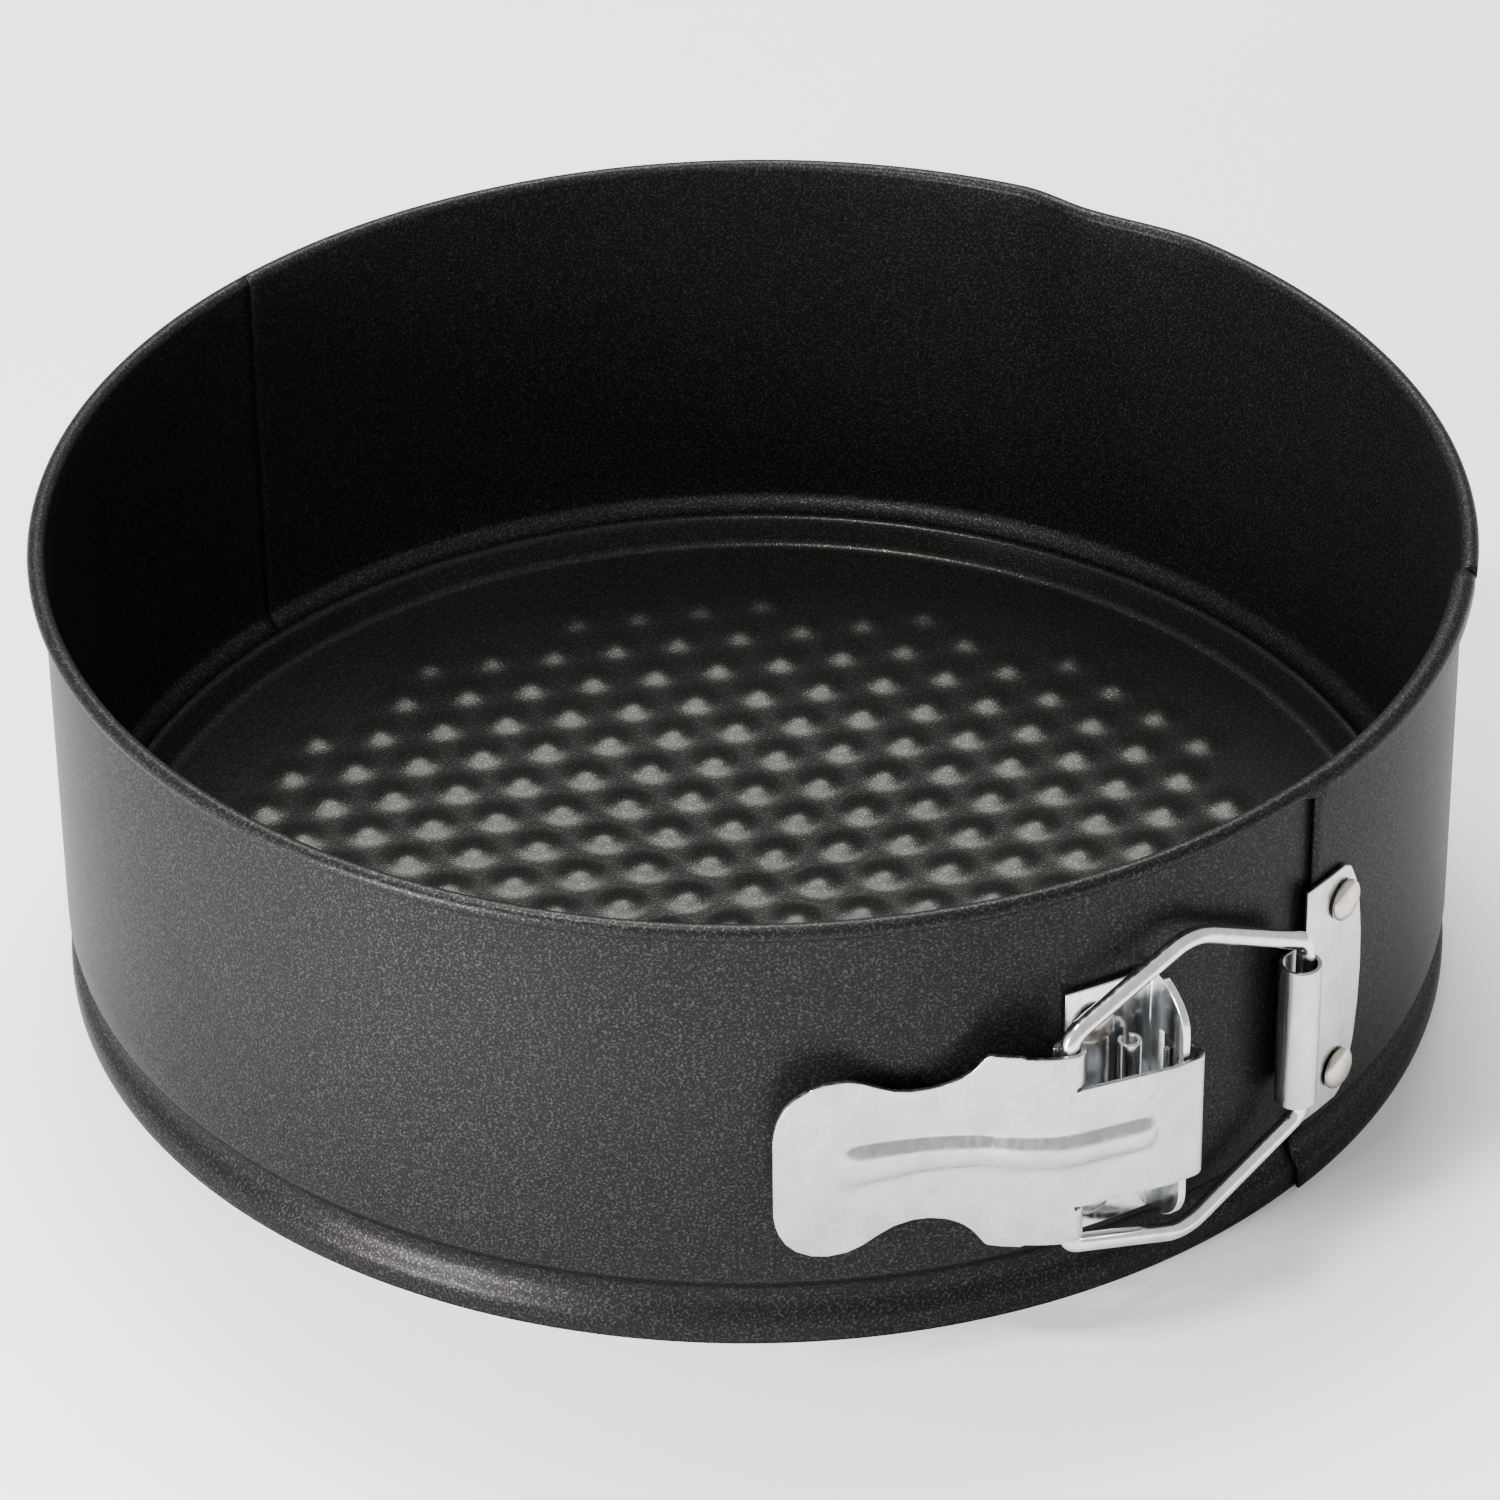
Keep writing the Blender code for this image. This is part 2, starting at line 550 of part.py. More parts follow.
def make_lever():
    """A paddle whose shoulders curl round the bail's leg and whose tongue ends in an eye round the bar."""
    junction = Vector((LEG_PIVOT.x, LEG_PIVOT.y - CURL_BORE))
    paddle = [Vector((place * MM, -BAND_RADIUS - rise * MM)) for place, rise in reversed(LEVER_LIFT)] + [junction]
    bar, half_depth = BAR_PIVOT, EYE_DEPTH / 2
    left, right = bar.x - EYE_WIDTH / 2, bar.x + EYE_WIDTH / 2
    corners = [junction, (left, bar.y - half_depth), (right, bar.y - half_depth), (right, bar.y + half_depth),
               (right - EYE_RETURN, bar.y + half_depth)]
    tongue = rounded(corners, (0, EYE_BEND, EYE_BEND, EYE_BEND, 0), count=3, closed=False)
    curl = arc(LEG_PIVOT, CURL_BORE, -90, 140, 14)
    slot = TONGUE_HALF + SHOULDER_SLOT
    levels = (-SHOULDER_HALF, -slot, -TONGUE_HALF, TONGUE_HALF, slot, SHOULDER_HALF)
    bm = bmesh.new()
    last = sheet_strip(bm, upright_edges(bm, paddle[0], [LATCH_HEIGHT + z for z in levels]), paddle)
    last.sort(key=lambda e: e.verts[0].co.z + e.verts[1].co.z)
    sheet_strip(bm, [last[2]], tongue)
    sheet_strip(bm, [last[0], last[4]], curl)
    face_normals(bm, paddle[2], Vector((0, 1)))
    origin = Vector((bar.x, bar.y, LATCH_HEIGHT))
    lever = add_object("lever", finish_mesh(bm, "lever"), ZINC, origin)
    solidify(lever, LEVER_SHEET)
    outline = [(a, b + LATCH_HEIGHT) for a, b in lever_outline()]
    boolean(lever, front_cutter("lever_outline", outline), "INTERSECT")
    return lever


def main():
    left, right = make_band_left(), make_band_right()
    make_base()
    plate = make_hinge_plate()
    bracket = make_bracket()
    make_bail()
    make_lever()
    plate_seat = plate_outer_radius() + GAP
    plate_end = BAND_RADIUS + LAP_GAP + 0.05 * MM
    make_rivets(("hinge_rivet_upper", "hinge_rivet_lower"), PLATE_RIVET_BEARING, plate_seat, plate_end, False,
                (plate, right))
    bracket_end = BAND_RADIUS - BAND_SHEET - GAP
    make_rivets(("bracket_rivet_upper", "bracket_rivet_lower"), BRACKET_RIVET_BEARING, bracket_face() + GAP,
                bracket_end, True, (bracket, left))


clear_scene()
pan_parts = collection("springform_pan")
cutters = collection("cutters")
main()
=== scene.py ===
"""Looks of the springform pan: coated band and dimpled base, zinc-plated latch, nickel rivets."""

import math

import bmesh
import bpy
from mathutils import Matrix, Vector


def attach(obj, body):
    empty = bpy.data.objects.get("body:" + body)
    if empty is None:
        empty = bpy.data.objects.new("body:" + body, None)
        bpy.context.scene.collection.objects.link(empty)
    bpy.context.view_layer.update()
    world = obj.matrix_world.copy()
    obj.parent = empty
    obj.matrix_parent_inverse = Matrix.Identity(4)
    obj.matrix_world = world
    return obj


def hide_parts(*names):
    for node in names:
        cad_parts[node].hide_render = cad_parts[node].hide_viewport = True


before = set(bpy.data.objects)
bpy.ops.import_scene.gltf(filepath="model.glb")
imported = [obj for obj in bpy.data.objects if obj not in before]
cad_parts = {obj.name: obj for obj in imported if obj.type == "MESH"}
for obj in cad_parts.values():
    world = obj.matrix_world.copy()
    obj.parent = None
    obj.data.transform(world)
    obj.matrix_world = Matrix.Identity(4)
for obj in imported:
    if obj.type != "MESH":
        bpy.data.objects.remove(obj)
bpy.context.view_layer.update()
MM = 0.001

# Sizes in millimetres and bearings in degrees, measured from the front towards the right
BAND_RADIUS, BAND_HEIGHT, BAND_SHEET, LAP_GAP = 115.3, 80.7, 0.6, 0.45
GROOVE_TOP = 12.7
OUTER_END, LAP_ANGLE, HOOK_START = 17.3, 31.7, 2.0
BEAD_RADIUS, HOOK_RADIUS, HOOK_LIP = 1.45, 1.85, 1.6
BEAD_TURN, HOOK_TURN = 300, 180
DENT_DEPTH = 2.3
BASE_SHEET, BASE_FLOOR, BASE_RING, BASE_EDGE = 0.6, 4.9, 111.7, 114.1
BASE_RING_SPACING, BASE_RING_COUNT, BASE_STEPS = 1.15, 87, 420
DIMPLE_PITCH, DIMPLE_RADIUS, DIMPLE_RISE = 11.3, 5.1, 1.05
DIMPLE_FIELD, DIMPLE_TURN = 92.0, -21.4
ROW_PITCH = math.sqrt(0.75)  # between rows of a hexagonal lattice, in pitches
LATCH_HEIGHT = 37.0
BAR, LEG = Vector((1.5, -124.0)), Vector((-17.3, -121.3))
CURL_BORE, LEVER_SHEET = 1.72, 0.8
EYE_WIDTH, EYE_DEPTH, EYE_BEND, EYE_RETURN = 5.4, 3.9, 1.3, 4.2
SHOULDER_HALF, CURL_HALF, TONGUE_HALF = 18.1, 17.75, 11.2
RIB_RISE = 1.35
WIRE_RADIUS = 1.52
WIRE_END = Vector((30.07, -116.20))
PLATE_SHEET, FIT_GAP = 0.7, 0.3
PLATE_RIVET_BEARING, BRACKET_RIVET_BEARING, RIVET_HALF_SPACING = 20.8, -4.7, 16.4
RIVET_HEAD_RADIUS, RIVET_HEAD_HEIGHT, RIVET_RIM, RIVET_SHANK_RADIUS = 3.5, 1.5, 0.35, 1.6
ROLL_CENTRE, ROLL_RADIUS, ROLL_HALF = (-4.6, -118.9), 1.9, 13.0

# Camera, in degrees, metres and millimetres of lens
CAMERA_BEARING, CAMERA_DISTANCE = -31.0, 1.16699
CAMERA_RISE, CAMERA_PITCH, CAMERA_YAW, CAMERA_ROLL = 35.524, 34.162, -0.022, -0.649
CAMERA_LENS, CAMERA_SENSOR = 165.04, 36.0

# Materials
COAT_METALLIC, COAT_SPECULAR = 0.55, 0.22
COAT_EDGE_TINT = (0.4, 0.4, 0.4, 1.0)
FLECK_POLISH = 0.08  # how much smoother a fleck is than the coat


# Camera, light and floor
def add_camera():
    turn = Matrix.Rotation(math.radians(CAMERA_BEARING), 3, "Z")
    angles = (CAMERA_RISE, CAMERA_PITCH, CAMERA_YAW, CAMERA_ROLL)
    rise, pitch, yaw, roll = (math.radians(angle) for angle in angles)
    back, height = CAMERA_DISTANCE * math.cos(rise), CAMERA_DISTANCE * math.sin(rise)
    place = turn @ Vector((0, -back, height))
    sideways, forwards = math.sin(yaw) * math.cos(pitch), math.cos(yaw) * math.cos(pitch)
    ahead = turn @ Vector((sideways, forwards, -math.sin(pitch)))
    level = ahead.cross(Vector((0, 0, 1))).normalized()
    above = level.cross(ahead)
    right = level * math.cos(roll) + above * math.sin(roll)
    up = right.cross(ahead)
    data = bpy.data.cameras.new("camera")
    data.lens, data.sensor_width = CAMERA_LENS, CAMERA_SENSOR
    data.clip_start, data.clip_end = 0.05, 20.0
    camera = bpy.data.objects.new("camera", data)
    bpy.context.scene.collection.objects.link(camera)
    facing = Matrix((right, up, -ahead)).transposed().to_4x4()
    camera.matrix_world = Matrix.Translation(place) @ facing
    bpy.context.scene.camera = camera


def add_softbox(name, bearing, rise, distance, width, height, watts, aim=(0, 0, 0.03)):
    turn = math.radians(bearing)
    flat = distance * math.cos(math.radians(rise))
    above_floor = distance * math.sin(math.radians(rise))
    place = Vector((flat * math.sin(turn), -flat * math.cos(turn), above_floor))
    data = bpy.data.lights.new(name, "AREA")
    data.shape = "RECTANGLE"
    data.size, data.size_y, data.energy = width, height, watts
    light = bpy.data.objects.new(name, data)
    bpy.context.scene.collection.objects.link(light)
    light.visible_camera = False
    light.location = place
    light.rotation_euler = (Vector(aim) - place).to_track_quat("-Z", "Y").to_euler()


def add_studio():
    world = bpy.data.worlds.new("studio")
    bpy.context.scene.world = world
    world.use_nodes = True
    background = world.node_tree.nodes["Background"]
    background.inputs["Color"].default_value = (1.0, 1.0, 1.0, 1.0)
    background.inputs["Strength"].default_value = 0.8
    add_softbox("back_softbox", 155, 60, 1.6, 0.9, 0.7, 46)
    add_softbox("left_softbox", -76, 12, 0.62, 0.14, 0.24, 9)
    add_softbox("floor_softbox", -74, 68, 0.62, 0.12, 0.08, 4, aim=(-0.200, -0.075, 0.0))
    bm = bmesh.new()
    bmesh.ops.create_grid(bm, x_segments=1, y_segments=1, size=6.0)
    floor = piece("floor", bm, plain_floor(), body=None)


# Materials
def node_group(name, inputs, outputs):
    group = bpy.data.node_groups.new(name, "ShaderNodeTree")
    for label, value in inputs:
        socket = group.interface.new_socket(label, in_out="INPUT", socket_type="NodeSocketFloat")
        socket.default_value = value
    for label in outputs:
        group.interface.new_socket(label, in_out="OUTPUT", socket_type="NodeSocketFloat")
    nodes, links = group.nodes, group.links
    start, end = nodes.new("NodeGroupInput"), nodes.new("NodeGroupOutput")
    place = nodes.new("ShaderNodeTexCoord")
    return group, nodes, links, start, end, place.outputs["Object"]


def noise(nodes, links, place, scale, detail=2.0, rough=0.5):
    texture = nodes.new("ShaderNodeTexNoise")
    texture.inputs["Detail"].default_value = detail
    texture.inputs["Roughness"].default_value = rough
    links.new(place, texture.inputs["Vector"])
    if isinstance(scale, (int, float)):
        texture.inputs["Scale"].default_value = scale
    else:
        links.new(scale, texture.inputs["Scale"])
    return texture.outputs["Fac"]


def spread(nodes, links, value, low, high, out_low=0.0, out_high=1.0):
    remap = nodes.new("ShaderNodeMapRange")
    ends = {"From Min": low, "From Max": high, "To Min": out_low, "To Max": out_high}
    for label, number in ends.items():
        remap.inputs[label].default_value = number
    links.new(value, remap.inputs["Value"])
    return remap.outputs["Result"]


def fleck_effect():
    """Fine bright grains in a coating, with slow clouding under them."""
    inputs, outputs = [("Grain Scale", 2600.0), ("Cloud Scale", 14.0)], ("Grain", "Cloud")
    group, nodes, links, start, end, place = node_group("coating_fleck", inputs, outputs)
    grain = noise(nodes, links, place, start.outputs["Grain Scale"], 1.0)
    links.new(spread(nodes, links, grain, 0.5, 0.78), end.inputs["Grain"])
    cloud = noise(nodes, links, place, start.outputs["Cloud Scale"], 4.0)
    links.new(spread(nodes, links, cloud, 0.3, 0.7), end.inputs["Cloud"])
    return group


def scuff_effect():
    """Long fine scratches and soft blotches in plated sheet."""
    inputs, outputs = [("Scratch Scale", 900.0), ("Blotch Scale", 160.0)], ("Scratch", "Blotch")
    group, nodes, links, start, end, place = node_group("plate_scuffs", inputs, outputs)
    stretch = nodes.new("ShaderNodeMapping")
    stretch.inputs["Scale"].default_value = (1.0, 1.0, 0.06)
    stretch.inputs["Rotation"].default_value = (0.5, 0.9, 0.2)
    links.new(place, stretch.inputs["Vector"])
    scratch = noise(nodes, links, stretch.outputs["Vector"], start.outputs["Scratch Scale"], 2.0)
    links.new(spread(nodes, links, scratch, 0.35, 0.7), end.inputs["Scratch"])
    blotch = noise(nodes, links, place, start.outputs["Blotch Scale"], 5.0, 0.6)
    links.new(spread(nodes, links, blotch, 0.32, 0.68), end.inputs["Blotch"])
    return group


def new_material(name, metallic, roughness):
    made = bpy.data.materials.new(name)
    made.use_nodes = True
    shader = made.node_tree.nodes["Principled BSDF"]
    shader.inputs["Metallic"].default_value = metallic
    shader.inputs["Roughness"].default_value = roughness
    return made, made.node_tree.nodes, made.node_tree.links, shader


def place_effect(nodes, group, **values):
    node = nodes.new("ShaderNodeGroup")
    node.node_tree = group
    for label, value in values.items():
        node.inputs[label.replace("_", " ")].default_value = value
    return node


def mix_colors(nodes, links, factor, low, high):
    mix = nodes.new("ShaderNodeMix")
    mix.data_type = "RGBA"
    links.new(factor, mix.inputs["Factor"])
    for socket, value in ((mix.inputs["A"], low), (mix.inputs["B"], high)):
        if isinstance(value, tuple):
            socket.default_value = (*value, 1.0)
        else:
            links.new(value, socket)
    return mix.outputs["Result"]


def add_bump(nodes, links, shader, height, strength, distance):
    bump = nodes.new("ShaderNodeBump")
    bump.inputs["Strength"].default_value = strength
    bump.inputs["Distance"].default_value = distance
    links.new(height, bump.inputs["Height"])
    links.new(bump.outputs["Normal"], shader.inputs["Normal"])


def coating(name, dark, light, fleck_color, roughness, effect):
    made, nodes, links, shader = new_material(name, COAT_METALLIC, roughness)
    shader.inputs["Specular IOR Level"].default_value = COAT_SPECULAR
    shader.inputs["Specular Tint"].default_value = COAT_EDGE_TINT
    fleck = place_effect(nodes, effect)
    under = mix_colors(nodes, links, fleck.outputs["Cloud"], dark, light)
    color = mix_colors(nodes, links, fleck.outputs["Grain"], under, fleck_color)
    links.new(color, shader.inputs["Base Color"])
    grain = fleck.outputs["Grain"]
    shine = spread(nodes, links, grain, 0, 1, roughness, roughness - FLECK_POLISH)
    links.new(shine, shader.inputs["Roughness"])
    add_bump(nodes, links, shader, grain, 0.35, 0.00005)
    return made


def plating(name, dull, bright, smooth, rough, effect, **values):
    made, nodes, links, shader = new_material(name, 1.0, smooth)
    scuffs = place_effect(nodes, effect, **values)
    blotch, scratch = scuffs.outputs["Blotch"], scuffs.outputs["Scratch"]
    links.new(mix_colors(nodes, links, blotch, dull, bright), shader.inputs["Base Color"])
    links.new(spread(nodes, links, scratch, 0, 1, smooth, rough), shader.inputs["Roughness"])
    add_bump(nodes, links, shader, blotch, 0.25, 0.00006)
    return made


def plain_floor():
    made, _, _, shader = new_material("pale_floor", 0.0, 0.7)
    shader.inputs["Base Color"].default_value = (0.93, 0.93, 0.93, 1.0)
    return made


# Making pieces
def piece(name, bm, look, body, smooth=35):
    """A piece whose place is in its mesh, given in metres."""
    mesh = bpy.data.meshes.new(name)
    bm.to_mesh(mesh)
    bm.free()
    mesh.materials.append(look)
    mesh.shade_smooth()
    mesh.set_sharp_from_angle(angle=math.radians(smooth))
    obj = bpy.data.objects.new(name, mesh)
    bpy.context.scene.collection.objects.link(obj)
    if body:
        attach(obj, body)
    return obj


def thicken(obj, thickness, edge=0.0):
    wall = obj.modifiers.new("sheet", "SOLIDIFY")
    wall.thickness, wall.offset, wall.use_even_offset = thickness * MM, -1, True
    if edge:
        round_edges(obj, edge)


def round_edges(obj, width, segments=2):
    bevel = obj.modifiers.new("edges", "BEVEL")
    bevel.width, bevel.segments = width * MM, segments
    bevel.limit_method, bevel.angle_limit = "ANGLE", math.radians(40)
    bevel.harden_normals = False


def polar(radius, bearing, height=None):
    turn = math.radians(bearing)
    spot = (radius * math.sin(turn), -radius * math.cos(turn))
    return Vector(spot if height is None else (*spot, height))


def arc(centre, radius, start, end, count):
    turns = (math.radians(start + (end - start) * i / count) for i in range(count + 1))
    across, along = centre[0], centre[1]
    return [Vector((across + radius * math.cos(t), along + radius * math.sin(t))) for t in turns]


def smooth_line(points, per_span):
    """A smooth line through the points, with a fixed number of steps between each two."""
    line = []
    for i in range(len(points) - 1):
        p0, p1, p2, p3 = (points[min(max(k, 0), len(points) - 1)] for k in (i - 1, i, i + 1, i + 2))
        for step in range(per_span):
            t = step / per_span
            line.append(
                0.5 * (2 * p1 + (p2 - p0) * t + (2 * p0 - 5 * p1 + 4 * p2 - p3) * t * t
                       + (3 * p1 - p0 - 3 * p2 + p3) * t * t * t)
            )
    return line + [points[-1]]


def ease(value, low, high):
    t = min(max((value - low) / (high - low), 0.0), 1.0)
    return t * t * (3 - 2 * t)


# Band
def wall_profile(radius, top):
    """The outside of the wall from its foot, past the pressed-in groove, to the rim."""
    foot = [(radius, 0.0), (radius + 0.06, 1.1), (radius + 0.04, 2.2)]
    groove = [(2.9, 0.02), (3.6, 0.16), (4.2, 0.5), (4.9, 1.05), (5.7, 1.6),
              (6.6, 2.0), (7.6, 2.18), (8.6, 2.2), (9.4, 2.02), (10.2, 1.62),
              (10.9, 1.0), (11.5, 0.45), (12.1, 0.12), (GROOVE_TOP, 0.0)]
    pressed = [(radius - depth, height) for height, depth in groove]
    count = 14
    wall = [(radius, GROOVE_TOP + (top - GROOVE_TOP) * i / count) for i in range(1, count + 1)]
    return foot + pressed + wall


def rim_profile(radius, roll, turn, lip=0.0, count=14):
    inside = roll - BAND_SHEET
    rolled = arc((radius + inside, BAND_HEIGHT - roll), inside, 180, 180 - turn, count)
    line = [(p.x, p.y) for p in rolled][1:]
    if lip:
        line[-1] = (line[-1][0], line[-1][1] - lip)
    return line


def spun_band(bm, points, start, end, centre, step=1.0):
    verts = [bm.verts.new((polar(r, start, z) + centre) * MM) for r, z in points]
    edges = [bm.edges.new(pair) for pair in zip(verts, verts[1:])]
    steps = max(1, round(abs(end - start) / step))
    turned = bmesh.ops.spin(bm, geom=verts + edges, cent=centre * MM, axis=(0, 0, 1),
                            angle=math.radians(end - start), steps=steps, use_duplicate=False)
    return turned["geom_last"]


def face_out(bm):
    """Turns the faces so that the wall's outside faces away from the middle."""
    bmesh.ops.recalc_face_normals(bm, faces=bm.faces)
    wall = max(bm.faces, key=lambda f: f.calc_area())
    spot = wall.calc_center_median()
    if wall.normal.x * spot.x + wall.normal.y * spot.y < 0:
        bmesh.ops.reverse_faces(bm, faces=bm.faces)


def make_left_band(look):
    centre = Vector((0, 0, 0))
    top = BAND_HEIGHT - BEAD_RADIUS
    bm = bmesh.new()
    plain = wall_profile(BAND_RADIUS, top) + rim_profile(BAND_RADIUS, BEAD_RADIUS, BEAD_TURN)
    hooked = wall_profile(BAND_RADIUS, BAND_HEIGHT - HOOK_RADIUS)
    hooked += rim_profile(BAND_RADIUS, HOOK_RADIUS, HOOK_TURN, HOOK_LIP)
    last = spun_band(bm, plain, OUTER_END - 180, OUTER_END - HOOK_START, centre)
    grown = bmesh.ops.spin(bm, geom=last, cent=centre, axis=(0, 0, 1),
                           angle=math.radians(HOOK_START), steps=1, use_duplicate=False)
    turned = grown["geom_last"]
    for vert in (v for v in turned if isinstance(v, bmesh.types.BMVert)):
        places = (polar(radius, OUTER_END, height) * MM for radius, height in plain)
        away = [(place - vert.co).length for place in places]
        nearest = away.index(min(away))
        vert.co = polar(hooked[nearest][0], OUTER_END, hooked[nearest][1]) * MM
    bmesh.ops.spin(bm, geom=turned, cent=centre, axis=(0, 0, 1),
                   angle=math.radians(LAP_ANGLE), steps=32, use_duplicate=False)
    face_out(bm)
    band = piece("band_left", bm, look, "ring_left", smooth=60)
    thicken(band, BAND_SHEET)
    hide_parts("side_band_left")


def dent(vert):
    """The band is knocked in a little below the rim at one place."""
    bearing = math.degrees(math.atan2(vert.co.x, -vert.co.y))
    height = ease(vert.co.z / MM, 18.0, 74.0)
    depth = DENT_DEPTH * ease(bearing, 106.0, 117.0) * (1 - ease(bearing, 117.5, 124.5)) * height
    flat = Vector((vert.co.x, vert.co.y, 0)).normalized()
    vert.co -= flat * depth * MM


def make_right_band(look):
    gap = BAND_SHEET + LAP_GAP
    centre = polar(gap / 2, OUTER_END, 0.0)
    radius = BAND_RADIUS + gap / 2
    top = BAND_HEIGHT - BEAD_RADIUS
    rim_start = OUTER_END + LAP_ANGLE + math.degrees(1.2 / BAND_RADIUS)
    back = OUTER_END + 180
    bm = bmesh.new()
    wall = wall_profile(radius, top)
    spun_band(bm, wall + rim_profile(radius, BEAD_RADIUS, BEAD_TURN), back, rim_start, centre)
    spun_band(bm, wall, rim_start, OUTER_END, centre)
    bmesh.ops.remove_doubles(bm, verts=bm.verts, dist=1e-6)
    for vert in bm.verts:
        dent(vert)
    face_out(bm)
    band = piece("band_right", bm, look, "ring_right", smooth=60)
    thicken(band, BAND_SHEET)
    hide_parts("side_band_right")


# Base
def dimple_height(x, y):
    """Height of the pressed floor over its flat level."""
    turn = math.radians(DIMPLE_TURN)
    across = (x * math.cos(turn) + y * math.sin(turn)) / DIMPLE_PITCH
    back = (-x * math.sin(turn) + y * math.cos(turn)) / (DIMPLE_PITCH * ROW_PITCH)
    rise = 0.0
    for row in (math.floor(back), math.floor(back) + 1):
        shift = 0.5 * (row % 2)
        column = round(across - shift) + shift
        if math.hypot(column, row * ROW_PITCH) * DIMPLE_PITCH > DIMPLE_FIELD:
            continue
        pitches = math.hypot(across - column, (back - row) * ROW_PITCH)
        away = pitches * DIMPLE_PITCH / DIMPLE_RADIUS
        rise = max(rise, DIMPLE_RISE * 0.5 * (1 + math.cos(math.pi * min(away, 1.0))))
    return rise


def full_turn(points, steps):
    """A closed shape of turning, from a profile of radius and height."""
    bm = bmesh.new()
    verts = [bm.verts.new((r * MM, 0, z * MM)) for r, z in points]
    edges = [bm.edges.new(pair) for pair in zip(verts, verts[1:])]
    bmesh.ops.spin(bm, geom=verts + edges, cent=(0, 0, 0), axis=(0, 0, 1), angle=math.tau,
                   steps=steps, use_merge=True)
    bmesh.ops.remove_doubles(bm, verts=bm.verts, dist=1e-6)
    return bm


def make_base(look):
    """The dimpled floor, its raised ring and its edge, as one sheet turned about the middle."""
    floor, ring = BASE_FLOOR, BASE_RING
    rings = [(BASE_RING_SPACING * i, floor) for i in range(BASE_RING_COUNT)]
    rings += [(101.0, floor), (104.0, floor), (106.5, floor),
              (107.3, floor + 0.1), (107.9, floor + 0.35), (108.4, floor + 0.8),
              (108.7, floor + 1.5), (109.7, floor + 3.8), (110.0, floor + 4.5),
              (110.3, floor + 5.0), (110.8, floor + 5.3), (111.3, floor + 5.3),
              (ring - 0.1, floor + 5.0), (ring, floor + 4.4), (ring, floor - 0.6),
              (ring + 0.15, floor - 1.0), (ring + 0.6, floor - 1.1), (BASE_EDGE, floor - 1.1)]
    bm = full_turn(rings, BASE_STEPS)
    for vert in bm.verts:
        vert.co.z += dimple_height(vert.co.x / MM, vert.co.y / MM) * MM
    bmesh.ops.recalc_face_normals(bm, faces=bm.faces)
    middle = min(bm.faces, key=lambda f: f.calc_center_median().xy.length)
    if middle.normal.z < 0:
        bmesh.ops.reverse_faces(bm, faces=bm.faces)
    base = piece("dimpled_base", bm, look, "base", smooth=50)
    thicken(base, BASE_SHEET)
    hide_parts("base_disc")


# Latch
# Place along the lever and half its height there
LEVER_EDGE = [(-60.3, 7.0), (-60.05, 9.0), (-59.5, 10.9), (-58.5, 12.9), (-57.0, 14.5),
              (-54.8, 15.8), (-52.2, 16.4), (-49.3, 16.3), (-47.0, 15.5), (-44.5, 14.1),
              (-42.0, 12.9), (-39.2, 12.3), (-36.5, 12.35), (-34.0, 12.9), (-32.0, 13.9),
              (-30.4, 15.4), (-29.2, 17.2), (-28.6, SHOULDER_HALF)]
# Place along the lever and distance out from the pan's axis
LEVER_FACE = [(-60.8, 104.6), (-54.0, 106.9), (-48.0, 108.6), (-42.0, 110.2), (-36.0, 112.2),
              (-30.0, 115.2), (-26.5, 118.0), (-23.0, 120.4), (-20.0, 122.1)]


def lever_half(place):
    """Half the lever's height at a place along the band."""
    if place >= LEVER_EDGE[-1][0]:
        if place > -23.9:
            return CURL_HALF
        return SHOULDER_HALF - 0.35 * ease(place, -24.6, -23.9)
    for (a, low), (b, high) in zip(LEVER_EDGE, LEVER_EDGE[1:]):
        if place <= b:
            return low + (high - low) * max(0.0, (place - a) / (b - a))


def rib_height(place, height):
    """The pressed rib along the middle of the lever."""
    along = ease(place, -51.5, -47.5) * (1 - ease(place, -6.0, -4.0))
    half = 3.1 + 1.1 * (1 - ease(place, -50.0, -30.0))
    return RIB_RISE * along * (1 - ease(abs(height), half * 0.3, half))


def lever_rows():
    """Heights of the rows of the lever's sheet, before its edge is shaped."""
    inner = [TONGUE_HALF * i / 14 for i in range(-14, 15)]
    outer = [12.0, 13.5, 15.0, 16.5, SHOULDER_HALF]
    return [-z for z in reversed(outer)] + inner + outer


def tongue_line():
    """Inner face of the tongue and its eye, as a line from the leg's junction."""
    left, right = BAR.x - EYE_WIDTH / 2, BAR.x + EYE_WIDTH / 2
    front, rear = BAR.y - EYE_DEPTH / 2, BAR.y + EYE_DEPTH / 2
    start = Vector((LEG.x, LEG.y - CURL_BORE))
    corner = Vector((left, front))
    line = [start.lerp(corner, i / 16) for i in range(16)]
    line += [corner.lerp(Vector((right - EYE_BEND, front)), i / 4) for i in range(4)]
    line += arc((right - EYE_BEND, front + EYE_BEND), EYE_BEND, -90, 0, 7)[:-1]
    line += [Vector((right, front + EYE_BEND))]
    line += arc((right - EYE_BEND, rear - EYE_BEND), EYE_BEND, 0, 90, 7)
    line += [Vector((right - EYE_BEND - i, rear)) for i in (1, 2, EYE_RETURN - EYE_BEND)]
    return line


